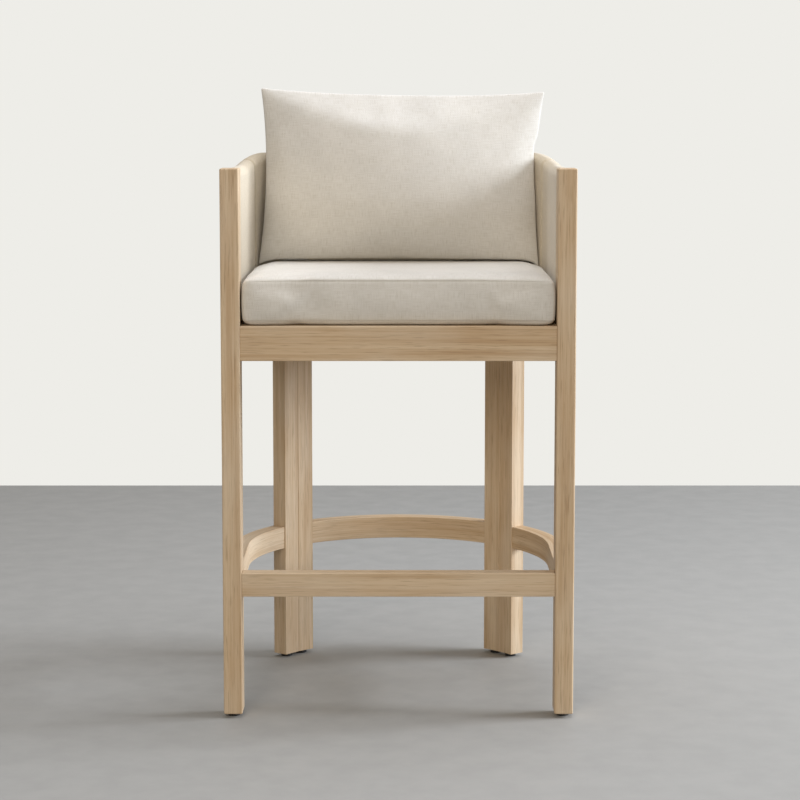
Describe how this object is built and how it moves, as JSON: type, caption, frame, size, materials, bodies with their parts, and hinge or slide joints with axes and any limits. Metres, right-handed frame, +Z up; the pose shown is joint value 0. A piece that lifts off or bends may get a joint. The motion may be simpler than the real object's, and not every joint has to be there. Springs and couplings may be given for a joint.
{
  "type": "bar stool with footrest",
  "caption": "Counter stool with a horseshoe oak frame, footrest ring, upholstered barrel back, loose box seat cushion and loose lumbar pillow.",
  "frame": {"origin": "on the floor, under the middle of the overall box", "axes": "+X to the right and +Y to the back as seen from in front of the stool, +Z up"},
  "size_m": [0.54, 0.5, 0.9712],
  "materials": {
    "oak": "pale natural oak with a matt whitewashed oil",
    "birch_block": "bare sanded birch",
    "plywood": "bare birch plywood",
    "beech_dowel": "bare fluted beech",
    "zinc_steel": "bright zinc plating",
    "black_nylon": "moulded black nylon",
    "foam": "cut upholstery foam",
    "fibre_fill": "white fibre fill",
    "linen": "oatmeal linen-blend plain weave",
    "zip_tape": "woven tape with a nylon coil"
  },
  "bodies": {
    "frame": {"front_leg_right": "oak", "front_leg_left": "oak", "back_leg_side_stave_right": "oak", "back_leg_side_stave_left": "oak", "back_leg_rear_stave_right": "oak", "back_leg_rear_stave_left": "oak", "seat_rail_side_right": "oak", "seat_rail_side_left": "oak", "footrest_rail_side_right": "oak", "footrest_rail_side_left": "oak", "seat_rail_front": "oak", "seat_rail_back": "oak", "footrest_rail_front": "oak", "footrest_rail_back": "oak", "corner_block_front_right": "birch_block", "corner_block_front_left": "birch_block", "corner_block_back_right": "birch_block", "corner_block_back_left": "birch_block", "seat_deck": "plywood", "seat_rail_dowels": "beech_dowel", "footrest_rail_dowels": "beech_dowel", "barrel_dowels": "beech_dowel", "deck_screws": "zinc_steel", "corner_block_screws": "zinc_steel", "glide_nails": "zinc_steel", "front_glide_right": "black_nylon", "front_glide_left": "black_nylon", "side_glide_right": "black_nylon", "side_glide_left": "black_nylon", "rear_glide_right": "black_nylon", "rear_glide_left": "black_nylon", "barrel_core": "plywood", "barrel_foam": "foam", "barrel_cover_inside_right": "linen", "barrel_cover_inside_left": "linen", "barrel_cover_inside_back": "linen", "barrel_cover_outside": "linen"},
    "seat_cushion": {"seat_cushion_cover": "linen", "seat_cushion_foam": "foam", "seat_cushion_zip": "zip_tape"},
    "back_pillow": {"back_pillow_cover": "linen", "back_pillow_fill": "fibre_fill", "back_pillow_zip": "zip_tape"}
  },
  "joints": [
    {"name": "seat_cushion_lift", "type": "slide", "parent": "frame", "child": "seat_cushion", "axis": [0, 0, 1], "range_m": [0, 0.27]},
    {"name": "back_pillow_lift", "type": "slide", "parent": "seat_cushion", "child": "back_pillow", "axis": [0, 0, 1], "range_m": [0, 0.25]}
  ]
}
